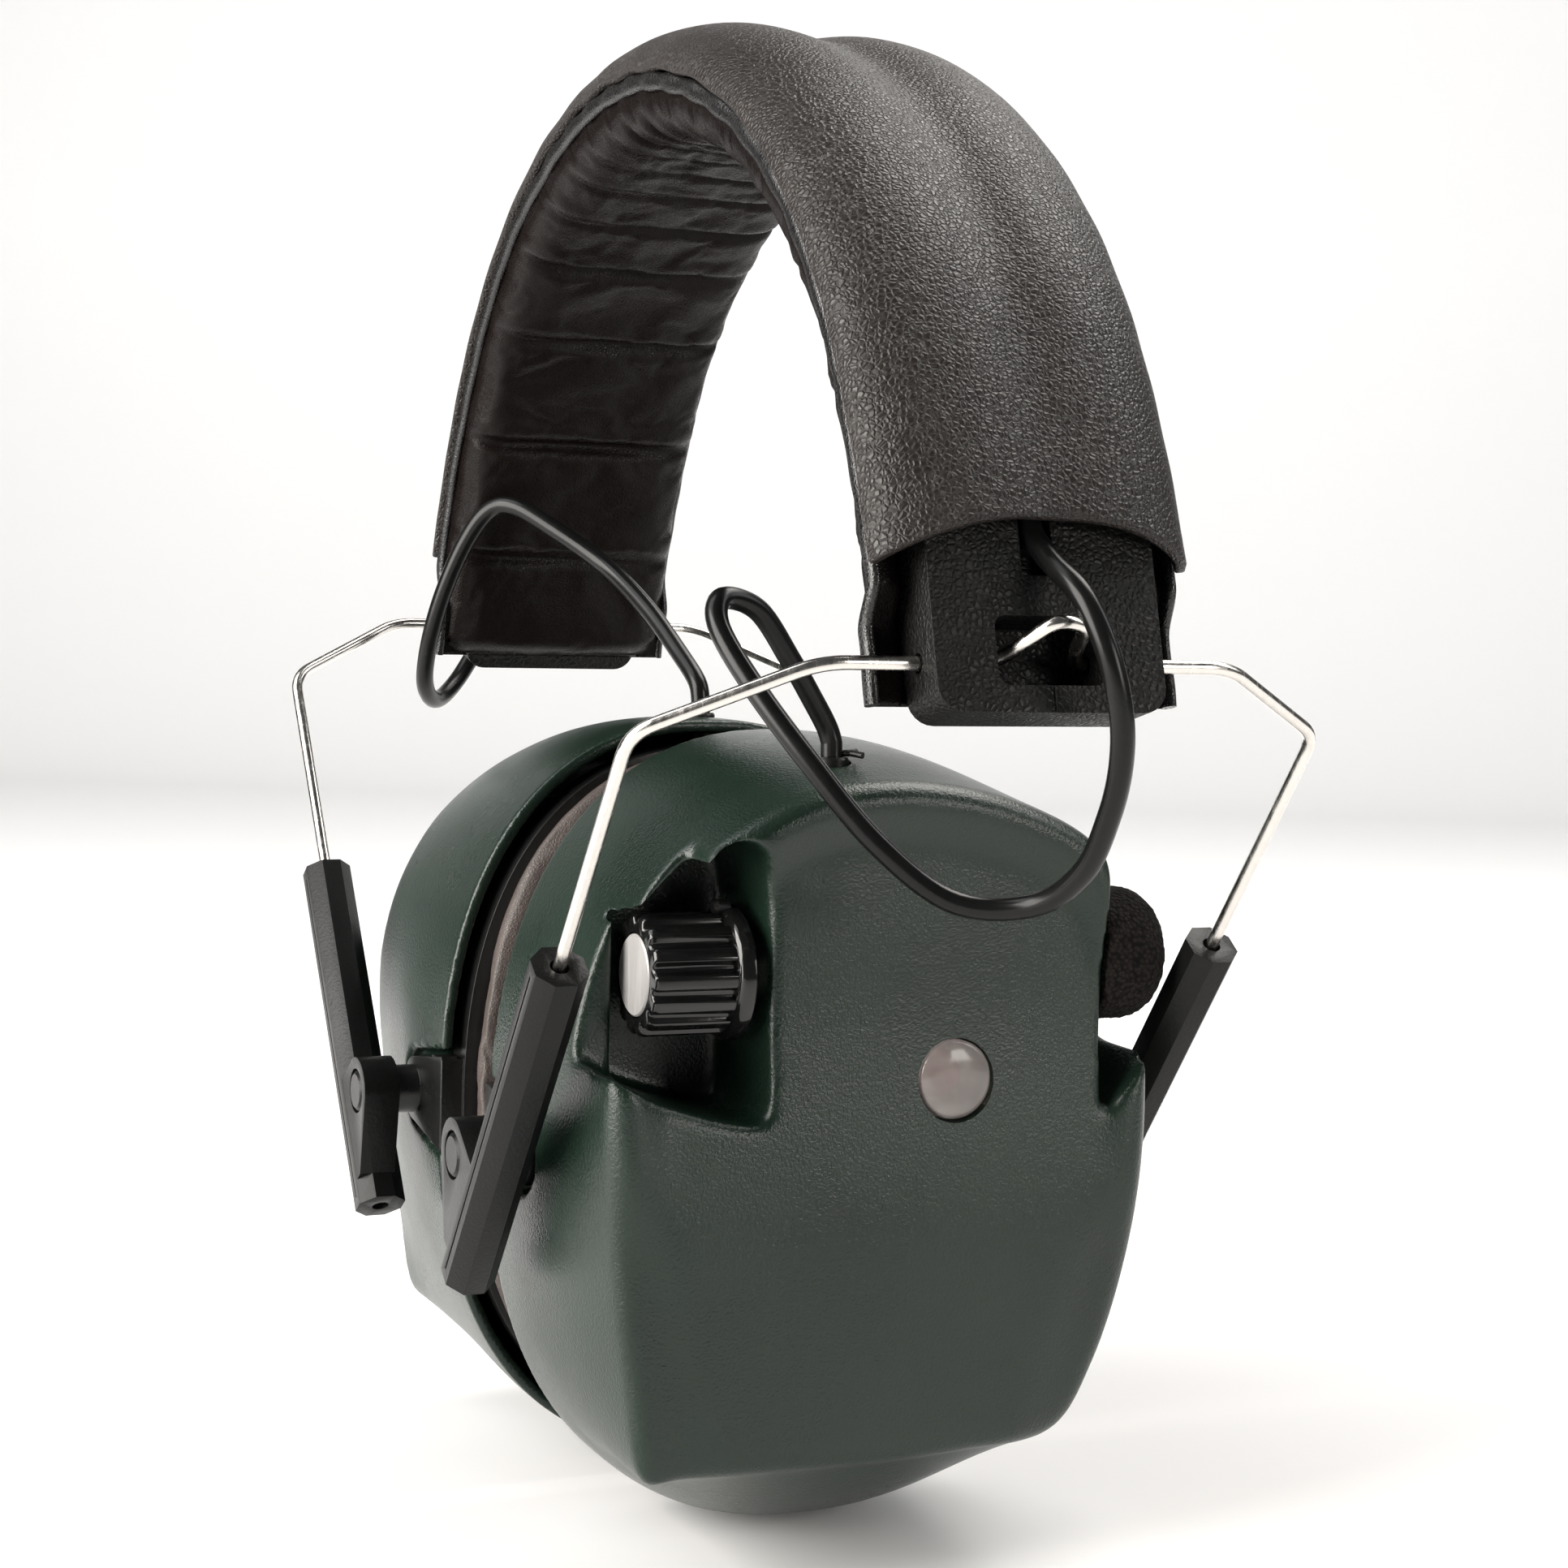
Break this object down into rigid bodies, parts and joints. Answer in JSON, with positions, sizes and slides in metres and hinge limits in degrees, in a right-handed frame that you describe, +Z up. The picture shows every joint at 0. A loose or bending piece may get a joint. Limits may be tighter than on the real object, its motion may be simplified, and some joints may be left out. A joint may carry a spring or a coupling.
{
  "type": "electronic earmuff hearing protector",
  "caption": "Padded spring headband on wire yokes carries sealed green cups with soft ear cushions, a fluted volume knob, foam-covered microphones and a status lamp.",
  "frame": {"origin": "underside of the head pad at the crown, on the middle plane between the cups", "axes": "+Z up the crown, +X to the wearer's right ear, +Y to the wearer's front"},
  "size_m": [0.1857, 0.0928, 0.1915],
  "materials": {
    "vinyl": "fine-grained vinyl, satin",
    "pad_vinyl": "soft pleated vinyl, satin",
    "spring": "rolled spring steel",
    "black": "fine spark texture",
    "wire": "bright drawn wire",
    "green": "moulded, satin, light texture",
    "cushion": "soft smooth vinyl over foam",
    "foam": "open-cell foam",
    "knob": "polished",
    "silver": "brushed",
    "lens": "translucent diffusing plastic",
    "red": "tinted epoxy",
    "board": "solder mask",
    "cell": "plain wrapped can",
    "lead": "glossy jacket"
  },
  "bodies": {
    "left_band_half": {"headband_cover_left": "vinyl", "headband_pad_left": "pad_vinyl", "band_spring_left": "spring", "left_band_lead": "lead", "left_end_block": "black", "left_lead": "lead"},
    "left_yoke": {"left_yoke_wire": "wire"},
    "left_sleeves": {"left_rear_sleeve": "black", "left_front_sleeve": "black", "left_rear_pin": "black", "left_front_pin": "black"},
    "left_cup": {"left_cup_shell": "green", "left_cushion_plate": "black", "left_ear_cushion": "cushion", "left_foam_liner": "foam", "left_speaker": "black", "left_mic_capsule": "silver", "left_mic_foam": "foam", "left_lead_grommet": "black", "left_circuit_board": "board", "battery_tray": "black", "battery_1": "cell", "battery_2": "cell"},
    "right_band_half": {"headband_cover_right": "vinyl", "headband_pad_right": "pad_vinyl", "band_spring_right": "spring", "right_band_lead": "lead", "right_end_block": "black", "right_lead": "lead"},
    "right_yoke": {"right_yoke_wire": "wire"},
    "right_sleeves": {"right_rear_sleeve": "black", "right_front_sleeve": "black", "right_rear_pin": "black", "right_front_pin": "black"},
    "right_cup": {"right_cup_shell": "green", "right_cushion_plate": "black", "right_ear_cushion": "cushion", "right_foam_liner": "foam", "right_speaker": "black", "right_mic_capsule": "silver", "right_mic_foam": "foam", "right_lead_grommet": "black", "right_circuit_board": "board", "potentiometer": "black", "potentiometer_nut": "silver", "status_led": "red", "led_lens": "lens"},
    "knob": {"volume_knob": "knob", "knob_cap": "silver"},
    "battery_door": {"battery_door": "green"}
  },
  "joints": [
    {"name": "band_flex", "type": "hinge", "parent": "left_band_half", "child": "right_band_half", "pos_m": [0, 0, 0.014], "axis": [0, -1, 0], "range_deg": [0, 50], "stiffness_Nm_per_rad": 1.2, "springref_deg": -17.19},
    {"name": "right_yoke_swing", "type": "hinge", "parent": "right_band_half", "child": "right_yoke", "pos_m": [0.08, 0, -0.0644], "axis": [0, -1, 0], "range_deg": [0, 8], "deforming": ["right_lead"]},
    {"name": "right_cup_slide", "type": "slide", "parent": "right_yoke", "child": "right_sleeves", "axis": [0.5892, 0, 0.808], "range_m": [0, 0.025], "deforming": ["right_lead"]},
    {"name": "right_cup_tilt", "type": "hinge", "parent": "right_sleeves", "child": "right_cup", "pos_m": [0.022, 0, -0.1272], "axis": [0, 1, 0], "range_deg": [-10, 10], "deforming": ["right_lead", "left_ear_cushion", "right_ear_cushion"]},
    {"name": "left_yoke_swing", "type": "hinge", "parent": "left_band_half", "child": "left_yoke", "pos_m": [-0.08, 0, -0.0644], "axis": [0, 1, 0], "range_deg": [0, 8], "deforming": ["left_lead"]},
    {"name": "left_cup_slide", "type": "slide", "parent": "left_yoke", "child": "left_sleeves", "axis": [-0.5892, 0, 0.808], "range_m": [0, 0.025], "deforming": ["left_lead"]},
    {"name": "left_cup_tilt", "type": "hinge", "parent": "left_sleeves", "child": "left_cup", "pos_m": [-0.022, 0, -0.1272], "axis": [0, -1, 0], "range_deg": [-10, 10], "deforming": ["left_lead", "left_ear_cushion", "right_ear_cushion"]},
    {"name": "volume_turn", "type": "hinge", "parent": "right_cup", "child": "knob", "pos_m": [0.04, -0.0237, -0.103], "axis": [0, 1, 0], "range_deg": [0, 300]},
    {"name": "battery_door_swing", "type": "hinge", "parent": "left_cup", "child": "battery_door", "pos_m": [-0.0496, 0, -0.1498], "axis": [0, -1, 0], "range_deg": [0, 100]}
  ]
}
